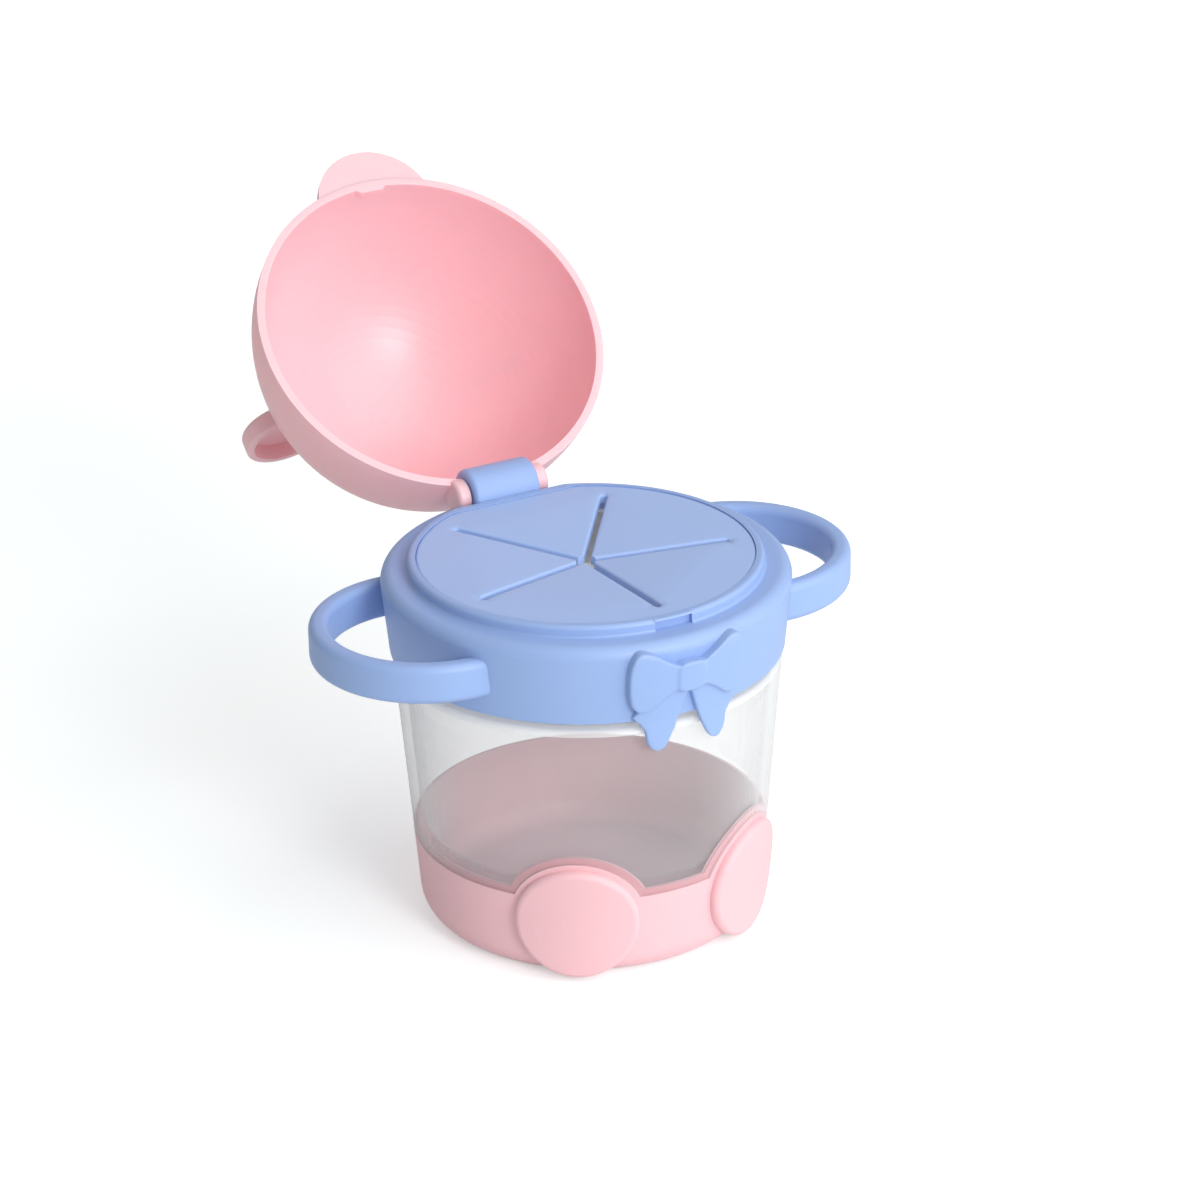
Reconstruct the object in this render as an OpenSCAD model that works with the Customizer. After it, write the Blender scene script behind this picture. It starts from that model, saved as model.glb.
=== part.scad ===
// Bear-shaped toddler snack cup with a spill-guard membrane, two handles and a flip-up dome lid.
// Origin: centre of the base on the table. Z is up, the front (bow side) faces -Y.
// The lid stands open at its stop; every other piece is in its closed, screwed-down place.

/* [Cup] */
// Outer radius just below the collar
cup_top_r = 40.6; // [38:0.1:42]
// Outer radius that the sloping side would have at the table
cup_base_r = 35.8; // [33:0.1:38]
// Height of the shoulder that the side ends at
shoulder_z = 59; // [50:0.5:66]
// Radius of the rounded bottom corner
corner_r = 6.5; // [4:0.5:9]
// Radius of the rounded shoulder edge
shoulder_edge = 1.2; // [0.6:0.1:1.8]
// Wall thickness of the clear side and neck
cup_wall = 2.1; // [1.8:0.1:3]
// Thickness of the clear floor
floor_t = 2.4; // [1.8:0.1:4]
// How far the neck is set in from the shoulder
neck_step = 3.8; // [3:0.1:4.6]
// Length of the neck above the shoulder
neck_l = 15.6; // [12:0.2:20]
// Bevel of the neck's rim
rim_bevel = 0.4; // [0.2:0.1:0.8]
// Radius of the rounded corner inside the bottom
cavity_corner = 5; // [3:0.5:8]

/* [Boot] */
// Height of the soft boot's straight top edge
boot_h = 19; // [14:0.5:24]
// Thickness of the soft boot
boot_t = 1.2; // [1:0.1:1.6]
// Height of the tongue that the boot tucks up behind the clear wall
tongue_h = 1.5; // [0.8:0.1:2.5]
// Thickness of that tongue
tongue_t = 0.6; // [0.4:0.1:0.8]
// Width of the boot's arch round each foot pad
arch_w = 1.2; // [0.8:0.1:2]
// Radius of a foot pad
pad_r = 12.7; // [10:0.1:13]
// Height of a foot pad's centre
pad_z = 13.7; // [13.5:0.1:16]
// How far a foot pad stands off the boot
pad_proud = 1.9; // [1.2:0.1:3]
// Rounding of a foot pad's edge
pad_edge = 1.3; // [0.6:0.1:1.8]
// Angle of each foot pad from the front
pad_angle = 33; // [28:0.5:40]

/* [Collar] */
// Gap between the cup's shoulder and the collar
collar_gap = 2; // [1:0.1:3]
// How far the collar's lower edge stands out past the cup's side
collar_out = 0.5; // [0.3:0.1:1.5]
// How far the collar's skirt widens up to its rounded shoulder
collar_flare = 1.4; // [0:0.1:2]
// Radius of the collar's rounded shoulder
collar_edge = 2.6; // [1.5:0.1:3.2]
// Thickness of the collar's roof
roof_t = 2; // [1.8:0.1:2.6]
// Width of the roof outside the raised ring
land_w = 5.7; // [5.3:0.1:6.2]
// Height of the raised ring above the roof
ring_h = 2.5; // [2:0.1:3.5]
// Rounding of the raised ring's outer edge
ring_edge = 0.9; // [0.4:0.1:1]
// Radius of the hollow corner between the raised ring and the roof
ring_fillet = 0.6; // [0.3:0.1:0.7]
// Depth of the flat at the back of the raised ring
ring_flat = 3.2; // [2.8:0.1:3.6]
// Gap between the collar and the cup's neck, where the screw thread runs
neck_gap = 1.2; // [0.4:0.1:1.6]
// Thickness of the seal between the cup's rim and the roof
seal_t = 1.4; // [1:0.1:2]
// How far the seal reaches in past the cup's neck
seal_in = 0.6; // [0:0.1:1]
// Gap between the seal's edge and the collar's bore
seal_fit = 0.3; // [0.1:0.1:0.5]
// Width of the latch notch in the raised ring
notch_w = 8.4; // [6:0.2:12]
// Depth of the latch notch
notch_d = 0.95; // [0.7:0.05:1.1]

/* [Membrane] */
// Width of the raised ring round the soft membrane
ring_w = 1.7; // [1.4:0.1:2.2]
// Thickness of the membrane
membrane_t = 2; // [1.6:0.1:2.4]
// Distance of the slits' ends from the membrane's edge
slit_end = 4.7; // [4:0.1:9]
// How far the membrane lies below the top of the raised ring
membrane_drop = 0.2; // [0:0.1:0.5]
// Angle of the bevels at a flap's root
root_bevel = 32; // [20:1:40]
// Width of a slit
slit_w = 1.3; // [1:0.1:1.6]
// Radius of the open centre
tip_r = 2; // [1.5:0.1:4]
// Angle that the flaps dip to the centre
flap_dip = 4.5; // [2:0.5:6]
// Width of the ledge that the membrane sits on
ledge_w = 2.5; // [1.5:0.1:3]

/* [Handles] */
// Outer radius of a handle's loop
handle_r = 24.3; // [20:0.1:26]
// Thickness of a handle
handle_t = 4.2; // [3.5:0.1:5]
// Height of a handle's band
handle_h = 8.4; // [6:0.1:10]
// How far the loop's centre lies inside the collar's side
handle_in = 6.3; // [5:0.1:8]
// Place of the loop's centre towards the back
handle_y = 1; // [0:0.5:3]
// Height of the handles' middle above the collar's lower edge
handle_up = 8.5; // [6:0.1:11]
// Rounding of a handle's edges
handle_edge = 1.7; // [1:0.1:2]

/* [Bow] */
// Half width of the bow
bow_half_w = 13.1; // [11:0.1:15]
// Height of the knot's middle above the collar's lower edge
bow_up = 9.3; // [8:0.1:10]
// Half height of the bow's loops
loop_half_h = 6.7; // [5:0.1:8]
// Half width of the knot
knot_half_w = 3; // [2.5:0.1:5]
// Height of the knot
knot_h = 6.6; // [5:0.1:9]
// How far the tails hang below the collar's lower edge
tail_drop = 7; // [4:0.5:9]
// Relief of the bow's loops
loop_relief = 2.1; // [1.2:0.1:2.4]
// Relief of the bow's knot
knot_relief = 2.5; // [1.8:0.1:3]
// Relief of the bow's tails
tail_relief = 1.3; // [1:0.1:2.4]

/* [Lid] */
// Gap between the raised ring and the inside of the lid's rim
rim_fit = 0.3; // [0.3:0.05:0.6]
// Outer height of the dome
dome_h = 41.6; // [36:0.2:46]
// Thickness of the dome
lid_wall = 1.7; // [1.5:0.05:1.75]
// Gap between the closed lid's rim and the collar's roof
rim_gap = 0.4; // [0.3:0.05:0.6]
// Angle that the lid is open to
lid_open = 140; // [120:1:140]
// Radius of an ear
ear_r = 9.7; // [8:0.1:11]
// Thickness of an ear
ear_t = 4.6; // [4:0.1:6]
// Rounding of an ear's front edge
ear_edge = 1.3; // [0.8:0.1:1.8]
// Rounding of an ear's back edge
ear_back_edge = 0.5; // [0.2:0.1:0.8]
// Wall round the hollow in an ear's back
ear_wall = 1.6; // [1.2:0.1:2.2]
// How far an ear's centre lies outside the radius of the lid's rim
ear_out = 4; // [3:0.1:7]
// Lean of an ear from straight up
ear_lean = 37.5; // [30:0.5:50]
// Radius of the muzzle
muzzle_r = 13.2; // [11:0.1:15]
// How far the muzzle's centre lies inside the lid's rim
muzzle_in = 5.8; // [4:0.1:8]
// Width of the latch tab
latch_w = 7.6; // [5:0.1:8]
// Height of the latch tab
latch_h = 1.5; // [1:0.1:1.8]
// How far each end of the latch tab slopes in
latch_slope = 1.6; // [0.5:0.1:2.2]

/* [Hinge] */
// Radius of the collar's hinge barrel
barrel_r = 5.5; // [4.6:0.1:5.7]
// Rounding of the barrel's ends
barrel_edge = 1; // [0.5:0.1:1.4]
// Length of the hinge barrel
barrel_l = 15.4; // [14:0.2:20]
// Distance of the hinge axis behind the raised ring's full radius
hinge_back = 2.6; // [2.4:0.1:3]
// Height of the hinge axis above the collar's roof
hinge_up = 2.2; // [2.1:0.1:2.5]
// Distance of the hinge post's back face behind the hinge axis, which the open lid stops on
post_back = 4.6; // [4:0.1:4.9]
// How far the hinge post runs down the collar's back
post_l = 11; // [8:0.5:14]
// Radius of a lid lug
lug_r = 3.7; // [3.2:0.1:4.2]
// Rounding of a lug's outer edge
lug_edge = 0.9; // [0.3:0.1:1.2]
// Thickness of a lid lug
lug_t = 2.7; // [2:0.1:3.5]
// Radius of a lug's pivot stub
stub_r = 1.6; // [1.2:0.1:2]
// Length of a lug's pivot stub
stub_l = 2.6; // [2:0.1:3.5]
// Running clearance of a stub in its socket
stub_fit = 0.05; // [0.03:0.01:0.1]
// Side and radial clearance of lugs and barrel
hinge_gap = 0.3; // [0.25:0.05:0.4]

/* [Hidden] */
$fn = 96;

// colours
clear_grey = [0.86, 0.88, 0.90, 0.45];
boot_pink = [0.97, 0.76, 0.81];
lid_pink = [0.98, 0.75, 0.79];
soft_blue = [0.60, 0.72, 0.93];
seal_white = [0.95, 0.95, 0.94];

// heights and places that follow from the sizes above
slope = (cup_top_r - cup_base_r) / shoulder_z;
lean = atan(slope);
collar_low_r = cup_top_r + collar_out;
collar_high_r = collar_low_r + collar_flare;
neck_r = cup_top_r - neck_step;
ring_r = collar_high_r - land_w;
ring_flat_y = ring_r - ring_flat;
membrane_r = ring_r - ring_w;
slit_r = membrane_r - slit_end;
handle_x = collar_high_r - handle_in;
rim_z = shoulder_z + neck_l;
neck_inner_r = neck_r - cup_wall;
collar_z = shoulder_z + collar_gap;
ceiling_z = rim_z + seal_t;
roof_z = ceiling_z + roof_t;
ring_z = roof_z + ring_h;
bore_r = neck_r + neck_gap;
membrane_z = ring_z - membrane_drop;
ledge_z = membrane_z - membrane_t;
flap_mid_z = membrane_z - membrane_t / 2;
// the flaps, with the gap and the bevelled faces that let them bend at their roots
flap_count = 5;
flap_step = 360 / flap_count;
root_y = slit_r * cos(flap_step / 2);
root_gap = 0.2;
bevel = membrane_t / 2 * tan(root_bevel);
hinge_y = ring_r + hinge_back;
hinge_z = roof_z + hinge_up;
lid_z = roof_z + rim_gap;
lid_inner_r = ring_r + rim_fit;
lid_r = lid_inner_r + lid_wall;
ear_reach = lid_r + ear_out;
muzzle_y = lid_r - muzzle_in;
handle_z = collar_z + handle_up;
lug_x = barrel_l / 2 + hinge_gap;
far = 200;

// points of an arc about (x, y)
function arc(x, y, r, from, to, n = 8) =
    [for (i = [0:n]) let (a = from + (to - from) * i / n) [x + r * cos(a), y + r * sin(a)]];

// points of a cubic curve
function curve(p0, p1, p2, p3, n = 8) =
    [for (i = [0:n]) let (t = i / n, s = 1 - t)
        s * s * s * p0 + 3 * s * s * t * p1 + 3 * s * t * t * p2 + t * t * t * p3];

// points mirrored to the other side, in reverse order
function mirrored(points) = [for (i = [len(points) - 1:-1:0]) [-points[i][0], points[i][1]]];

// a rectangle with rounded corners about (x, z)
function rounded_box(x, z, w, h, r) = concat(
    arc(x + w / 2 - r, z + h / 2 - r, r, 0, 90),
    arc(x - w / 2 + r, z + h / 2 - r, r, 90, 180),
    arc(x - w / 2 + r, z - h / 2 + r, r, 180, 270),
    arc(x + w / 2 - r, z - h / 2 + r, r, 270, 360));

// radius of the cup's side at a height, with a layer of the given depth taken off
function side_r(z, depth = 0) = cup_base_r + slope * z - depth / cos(lean);

// the rounded bottom corner, less a layer of the given depth: it runs smoothly into the side
function corner_arc(depth = 0) =
    arc(side_r(corner_r, corner_r), corner_r, corner_r - depth, -90, -lean);

// half profile of the cup's outer form up to height top, less a layer of the given depth
function cup_profile(top, depth = 0) = concat(
    [[0, depth]], corner_arc(depth), [[side_r(top, depth), top], [0, top]]);

// outer radius of the collar at a height on its sloping skirt
function skirt_r(z) = collar_low_r + (collar_high_r - collar_low_r)
    * (z - collar_z) / (roof_z - collar_edge - collar_z);

// outer form of the collar up to its roof, swollen by the given relief and run down to height low
module collar_form(relief = 0, low = collar_z) {
    rotate_extrude() polygon(concat(
        [[0, low], [collar_low_r + relief, low], [collar_low_r + relief, collar_z]],
        arc(collar_high_r - collar_edge, roof_z - collar_edge, collar_edge + relief, 0, 90),
        [[0, roof_z + relief]]));
}

// the area that the boot covers, grown by the given margin
module boot_area(grow = 0) {
    translate([0, 0, -1]) cylinder(r = far, h = boot_h + grow + 1);
    for (side = [-1, 1])
        at_pad(side) cylinder(r = pad_r + arch_w + grow, h = far);
}

// places children at a foot pad's centre, with Z along the pad's axis
module at_pad(side) {
    rotate([0, 0, side * pad_angle]) translate([0, 0, pad_z]) rotate([90, 0, 0]) children();
}

// a layer of the cup's form between two depths
module cup_layer(outer, inner) {
    difference() {
        rotate_extrude() polygon(cup_profile(shoulder_z, outer));
        rotate_extrude() polygon(cup_profile(shoulder_z + 1, inner));
    }
}

module cup() {
    cavity_depth = boot_t + cup_wall;
    cavity_z = boot_t + floor_t;
    edge_z = shoulder_z - shoulder_edge;
    seat_top = boot_h + tongue_h;
    color(clear_grey) difference() {
        rotate_extrude() polygon(concat(
            [[0, 0]],
            corner_arc(),
            arc(side_r(edge_z) - shoulder_edge, edge_z, shoulder_edge, 0, 90, 6),
            [[neck_r, shoulder_z], [neck_r, rim_z - rim_bevel], [neck_r - rim_bevel, rim_z], [0, rim_z]]));
        // cavity: rounded floor, wall of even thickness, then the narrower neck
        rotate_extrude() polygon(concat(
            [[0, cavity_z]],
            arc(side_r(corner_r, cavity_depth) - cavity_corner, cavity_z + cavity_corner, cavity_corner, -90, 0, 6),
            [[side_r(seat_top, cavity_depth), seat_top],
             [side_r(seat_top + 2 * boot_t, cup_wall), seat_top + 2 * boot_t],
             [side_r(shoulder_z - 3 * cup_wall, cup_wall), shoulder_z - 3 * cup_wall],
             [neck_inner_r, shoulder_z - cup_wall / 3], [neck_inner_r, rim_z + 1], [0, rim_z + 1]]));
        // seat of the boot, with the groove for its tongue
        difference() {
            boot_area();
            rotate_extrude() polygon(cup_profile(shoulder_z, boot_t));
        }
        intersection() {
            cup_layer(boot_t - tongue_t, boot_t);
            boot_area(tongue_h);
        }
    }
}

module boot() {
    color(boot_pink) {
        intersection() {
            cup_layer(0, boot_t);
            boot_area();
        }
        intersection() {
            cup_layer(boot_t - tongue_t, boot_t);
            boot_area(tongue_h);
        }
    }
}

// a point of a foot pad: r and t about the pad's centre, wrapped round the boot at a relief
function pad_point(r, t, relief) =
    let (z = pad_z + r * sin(t), out = side_r(z) + relief, turn = r * cos(t) / side_r(pad_z) * 180 / PI)
        [out * sin(turn), -out * cos(turn), z];

// a foot pad: a disc wrapped round the boot, with a rounded edge
module foot_pad(side) {
    sides = 72;
    rings = concat(
        [[pad_r, -corner_r]],
        arc(pad_r - pad_edge, pad_proud - pad_edge, pad_edge, 0, 90, 6),
        [for (i = [3:-1:1]) [(pad_r - pad_edge) * i / 4, pad_proud]]);
    last = len(rings) - 1;
    points = concat(
        [for (ring = rings) for (k = [0:sides - 1]) pad_point(ring[0], 360 * k / sides, ring[1])],
        [pad_point(0, 0, -corner_r), pad_point(0, 0, pad_proud)]);
    faces = concat(
        [for (i = [0:last - 1]) for (k = [0:sides - 1]) for (half = [0, 1])
            let (a = i * sides + k, b = i * sides + (k + 1) % sides)
                half == 0 ? [a, a + sides, b] : [b, a + sides, b + sides]],
        [for (k = [0:sides - 1]) [len(points) - 2, k, (k + 1) % sides]],
        [for (k = [0:sides - 1])
            [len(points) - 1, last * sides + (k + 1) % sides, last * sides + k]]);
    color(boot_pink) difference() {
        rotate([0, 0, side * pad_angle]) polyhedron(points, faces);
        rotate_extrude() polygon(cup_profile(shoulder_z));
    }
}

module seal_ring() {
    color(seal_white) translate([0, 0, rim_z]) difference() {
        cylinder(r = bore_r - seal_fit, h = seal_t);
        translate([0, 0, -1]) cylinder(r = neck_inner_r - seal_in, h = seal_t + 2);
    }
}

// hinge block: a barrel with rounded ends on a post that runs down the collar's back
module hinge_block() {
    front_y = hinge_y - 0.96 * barrel_r;
    stop_y = hinge_y + post_back;
    post_w = barrel_l - barrel_edge;
    translate([0, hinge_y, hinge_z]) rotate([0, 90, 0]) rotate_extrude() polygon(concat(
        [[0, -barrel_l / 2]],
        arc(barrel_r - barrel_edge, -barrel_l / 2 + barrel_edge, barrel_edge, -90, 0),
        arc(barrel_r - barrel_edge, barrel_l / 2 - barrel_edge, barrel_edge, 0, 90),
        [[0, barrel_l / 2]]));
    rotate([90, 0, 90]) translate([0, 0, -post_w / 2]) linear_extrude(post_w)
        polygon([[front_y, roof_z - roof_t / 2], [front_y, hinge_z - 0.12 * barrel_r],
                 [stop_y, hinge_z - 0.6 * post_back], [stop_y, roof_z - post_l / 2],
                 [skirt_r(roof_z - post_l) - 1, roof_z - post_l]]);
}

module collar() {
    color(soft_blue) difference() {
        union() {
            collar_form();
            // raised ring with a rounded outer edge, a hollow corner at its foot and a flat back
            intersection() {
                rotate_extrude() polygon(concat(
                    [[0, roof_z - 1], [ring_r + ring_fillet, roof_z - 1]],
                    arc(ring_r + ring_fillet, roof_z + ring_fillet, ring_fillet, 270, 180, 6),
                    arc(ring_r - ring_edge, ring_z - ring_edge, ring_edge, 0, 90, 6),
                    [[0, ring_z]]));
                translate([-far, -far, 0]) cube([2 * far, far + ring_flat_y, far]);
            }
            hinge_block();
        }
        // bore for the neck, up to the ceiling that the seal bears on
        cylinder(r = bore_r, h = ceiling_z);
        // mouth, and the seat of the membrane
        translate([0, 0, collar_z]) linear_extrude(far) membrane_outline(ledge_w);
        translate([0, 0, ledge_z]) linear_extrude(far) membrane_outline();
        // room for the lid's lugs
        for (side = [-1, 1])
            translate([side * (barrel_l / 2 + (lug_t + 2 * hinge_gap) / 2), hinge_y, hinge_z])
                rotate([0, 90, 0]) cylinder(r = lug_r + 1.5 * hinge_gap, h = lug_t + 2 * hinge_gap, center = true);
        // sockets for the lugs' stubs
        for (side = [-1, 1])
            translate([side * barrel_l / 2, hinge_y, hinge_z]) rotate([0, 90, 0])
                cylinder(r = stub_r + stub_fit, h = 2 * (stub_l + hinge_gap), center = true);
        // notch that the lid's latch tab drops into
        difference() {
            translate([-notch_w / 2, -far, roof_z]) cube([notch_w, far, far]);
            cylinder(r = ring_r - notch_d, h = far);
        }
    }
}

// plan of the membrane's edge, with the same flat back as the raised ring, less an inset
module membrane_outline(inset = 0) {
    intersection() {
        circle(membrane_r - inset);
        translate([-far, -far]) square([2 * far, far + ring_flat_y - (ring_r - membrane_r) - inset]);
    }
}

module handle(side) {
    color(soft_blue) difference() {
        translate([side * handle_x, handle_y, handle_z]) rotate_extrude()
            polygon(rounded_box(handle_r - handle_t / 2, 0, handle_t, handle_h, handle_edge));
        collar_form();
    }
}

// one layer of the bow: an outline laid over the collar's front at a given relief
module bow_layer(relief, low = collar_z) {
    intersection() {
        difference() {
            collar_form(relief, low);
            collar_form(0, low - 1);
        }
        rotate([90, 0, 0]) linear_extrude(far) children();
    }
}

module bow() {
    knot_z = collar_z + bow_up;
    tail_z = collar_z - tail_drop;
    tail_l = knot_z - tail_z;
    w = bow_half_w - knot_half_w;
    h = loop_half_h;
    // a loop: out along its top, down its rounded end, and back to the knot along its underside
    right_loop = concat(
        curve([knot_half_w - 0.1 * w, knot_z + 0.39 * h], [knot_half_w + 0.25 * w, knot_z + 0.51 * h],
              [knot_half_w + 0.42 * w, knot_z + 0.96 * h], [knot_half_w + 0.73 * w, knot_z + h]),
        curve([knot_half_w + 0.73 * w, knot_z + h], [bow_half_w, knot_z + h],
              [bow_half_w, knot_z + 0.3 * h], [bow_half_w, knot_z]),
        curve([bow_half_w, knot_z], [bow_half_w, knot_z - 0.75 * h],
              [bow_half_w - 0.1 * w, knot_z - h], [knot_half_w + 0.7 * w, knot_z - h]),
        curve([knot_half_w + 0.7 * w, knot_z - h], [knot_half_w + 0.46 * w, knot_z - h],
              [knot_half_w + 0.33 * w, knot_z - 0.48 * h], [knot_half_w - 0.1 * w, knot_z - 0.36 * h]));
    // a tail: down its outer edge from behind the loop, round its tip, and up its inner edge
    right_tail = concat(
        [[0, knot_z], [knot_half_w, knot_z]],
        curve([bow_half_w - 0.12 * w, knot_z - 0.48 * tail_l], [bow_half_w - 0.2 * w, knot_z - 0.58 * tail_l],
              [bow_half_w - 0.42 * w, tail_z + 0.36 * tail_l], [bow_half_w - 0.4 * w, tail_z + 0.21 * tail_l]),
        curve([bow_half_w - 0.4 * w, tail_z + 0.21 * tail_l], [bow_half_w - 0.43 * w, tail_z + 0.04 * tail_l],
              [knot_half_w + 0.36 * w, tail_z - 0.04 * tail_l], [knot_half_w + 0.22 * w, tail_z + 0.05 * tail_l]),
        curve([knot_half_w + 0.22 * w, tail_z + 0.05 * tail_l], [knot_half_w + 0.05 * w, tail_z + 0.15 * tail_l],
              [0.5 * knot_half_w, knot_z - 0.43 * tail_l], [0.1 * knot_half_w, knot_z - 0.21 * tail_l]));
    color(soft_blue) {
        bow_layer(loop_relief) {
            polygon(right_loop);
            polygon(mirrored(right_loop));
        }
        bow_layer(knot_relief) polygon(rounded_box(0, knot_z, 2 * knot_half_w, knot_h, 0.23 * knot_h));
        bow_layer(tail_relief, tail_z - 2 * tail_relief) {
            polygon(right_tail);
            polygon(mirrored(right_tail));
        }
    }
}

// cross-section through a flap's root: the face leans back from its middle line on both sides
module flap_blank() {
    rotate([90, 0, 90]) translate([0, 0, -slit_r]) linear_extrude(2 * slit_r)
        polygon([[0, membrane_t / 2], [root_y - root_gap / 2 - bevel, membrane_t / 2],
                 [root_y - root_gap / 2, 0], [root_y - root_gap / 2 - bevel, -membrane_t / 2],
                 [0, -membrane_t / 2]]);
}

// plan of a flap that points along +Y: the wedge between two slits, cut off short of the centre
module flap_plan() {
    half = flap_step / 2;
    start = max(tip_r, slit_w / 2 / sin(half) + 0.5);
    edge = slit_w / 2 / cos(half);
    polygon([[-(start * tan(half) - edge), start], [start * tan(half) - edge, start],
             [root_y * tan(half) - edge, root_y], [-(root_y * tan(half) - edge), root_y]]);
}

module flap(number) {
    color(soft_blue) rotate([0, 0, number * flap_step])
        translate([0, root_y, flap_mid_z]) rotate([flap_dip, 0, 0]) translate([0, -root_y, 0])
            intersection() {
                flap_blank();
                translate([0, 0, -membrane_t]) linear_extrude(2 * membrane_t) flap_plan();
            }
}

// the membrane's rim: its opening is a regular polygon with one side at the root of each flap
module membrane_rim() {
    corner = 1 / cos(flap_step / 2);
    waist = (root_y + root_gap / 2) * corner;
    mouth = waist + bevel * corner;
    color(soft_blue) difference() {
        translate([0, 0, ledge_z]) linear_extrude(membrane_t) membrane_outline();
        rotate([0, 0, 90 - flap_step / 2]) translate([0, 0, flap_mid_z]) {
            for (up = [0, 1]) mirror([0, 0, up])
                linear_extrude(membrane_t, scale = 1 + 2 * (mouth / waist - 1)) circle(waist, $fn = flap_count);
        }
        for (i = [0:flap_count - 1]) rotate([0, 0, 90 + (i + 0.5) * flap_step])
            translate([slit_r - slit_w / 2, 0, ledge_z - 1]) cylinder(d = slit_w, h = membrane_t + 2);
    }
}

// places a lid piece, drawn with the middle of its rim at the origin, at the open lid's place
module on_lid() {
    translate([0, hinge_y, hinge_z]) rotate([-lid_open, 0, 0])
        translate([0, -hinge_y, lid_z - hinge_z]) children();
}

// outer form of the dome, less a layer of the given depth: half an ellipse turned about the axis
module dome_form(depth = 0) {
    rotate_extrude() polygon(concat(
        [[0, -depth]],
        [for (i = [0:24]) let (a = 90 * i / 24) [(lid_r - depth) * cos(a), (dome_h - depth) * sin(a)]]));
}

// the lid's two hinge lugs, each rounded on its outer edge
module lugs() {
    for (side = [0, 1]) mirror([side, 0, 0])
        translate([lug_x, hinge_y, hinge_z - lid_z]) rotate([0, 90, 0]) rotate_extrude() polygon(concat(
            [[0, 0], [lug_r, 0]],
            arc(lug_r - lug_edge, lug_t - lug_edge, lug_edge, 0, 90, 6),
            [[0, lug_t]]));
}

module lid() {
    axis_z = hinge_z - lid_z;
    color(lid_pink) on_lid() {
        difference() {
            union() {
                dome_form();
                lugs();
            }
            difference() {
                dome_form(lid_wall);
                lugs();
            }
            translate([0, hinge_y, axis_z]) rotate([0, 90, 0])
                cylinder(r = barrel_r + 2 * hinge_gap, h = 2 * lug_x, center = true);
        }
        // stubs that snap into the barrel's ends
        for (side = [-1, 1]) translate([side * (lug_x - stub_l / 2 + 0.5), hinge_y, axis_z])
            rotate([0, 90, 0]) cylinder(r = stub_r, h = stub_l + 1, center = true);
        // latch tab inside the front of the rim, with sloping ends
        intersection() {
            difference() {
                cylinder(r = lid_inner_r + lid_wall / 3, h = latch_h);
                translate([0, 0, -1]) cylinder(r = ring_r - notch_d + rim_fit, h = latch_h + 2);
            }
            linear_extrude(latch_h) polygon([
                [-latch_w / 2, -lid_r], [latch_w / 2, -lid_r], [latch_w / 2, -lid_inner_r],
                [latch_w / 2 - latch_slope, notch_d - ring_r], [latch_slope - latch_w / 2, notch_d - ring_r],
                [-latch_w / 2, -lid_inner_r]]);
        }
    }
}

// an ear: a round disc with an open hollow in its back, seated on the dome
module ear(side) {
    back = ear_t / 2;
    color(lid_pink) on_lid() difference() {
        rotate([0, side * ear_lean, 0]) translate([0, 0, ear_reach]) rotate([90, 0, 0]) rotate_extrude()
            polygon(concat(
                [[0, back - ear_wall], [0, back]],
                arc(ear_r - ear_edge, back - ear_edge, ear_edge, 90, 0),
                arc(ear_r - ear_back_edge, ear_back_edge - back, ear_back_edge, 0, -90, 4),
                [[ear_r - ear_wall, -back], [ear_r - 1.6 * ear_wall, back - ear_wall]]));
        dome_form();
    }
}

module muzzle() {
    color(lid_pink) on_lid() difference() {
        translate([0, -muzzle_y, 0]) sphere(muzzle_r);
        dome_form();
        translate([-far, -far, -far]) cube([2 * far, 2 * far, far]);
    }
}

cup();
boot();
foot_pad(-1);  // foot_pad_left
foot_pad(1);  // foot_pad_right
seal_ring();
collar();
handle(-1);  // handle_left
handle(1);  // handle_right
bow();
membrane_rim();
flap(0);  // flap_1
flap(1);  // flap_2
flap(2);  // flap_3
flap(3);  // flap_4
flap(4);  // flap_5
lid();
ear(-1);  // ear_left
ear(1);  // ear_right
muzzle();
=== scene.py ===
"""Toddler snack cup: a clear cup in a soft boot, a screw collar with a slit membrane, and a flip-up lid."""
import math

import bmesh
import bpy
from mathutils import Matrix, Vector


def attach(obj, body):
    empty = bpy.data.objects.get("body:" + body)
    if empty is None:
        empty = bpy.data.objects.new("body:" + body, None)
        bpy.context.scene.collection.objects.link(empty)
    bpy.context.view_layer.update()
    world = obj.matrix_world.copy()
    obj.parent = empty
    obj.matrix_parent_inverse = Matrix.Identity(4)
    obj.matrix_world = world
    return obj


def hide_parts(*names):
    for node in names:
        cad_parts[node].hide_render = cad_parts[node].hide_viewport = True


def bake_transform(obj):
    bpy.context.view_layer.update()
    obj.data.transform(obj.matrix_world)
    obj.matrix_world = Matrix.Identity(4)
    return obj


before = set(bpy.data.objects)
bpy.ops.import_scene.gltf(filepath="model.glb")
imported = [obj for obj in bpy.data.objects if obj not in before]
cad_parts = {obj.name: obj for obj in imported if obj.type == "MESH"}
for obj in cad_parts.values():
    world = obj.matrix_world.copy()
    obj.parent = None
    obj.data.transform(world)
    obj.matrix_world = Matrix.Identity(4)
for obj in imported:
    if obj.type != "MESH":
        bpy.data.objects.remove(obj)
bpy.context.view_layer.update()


# ---- Clear cup ------------------------------------------------------------------------------------------
# The body and neck are one moulding of clear polypropylene, about 2 mm thick and slightly milky.
# The soft boot is pushed onto its foot from below, and the collar screws onto its neck.

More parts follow.
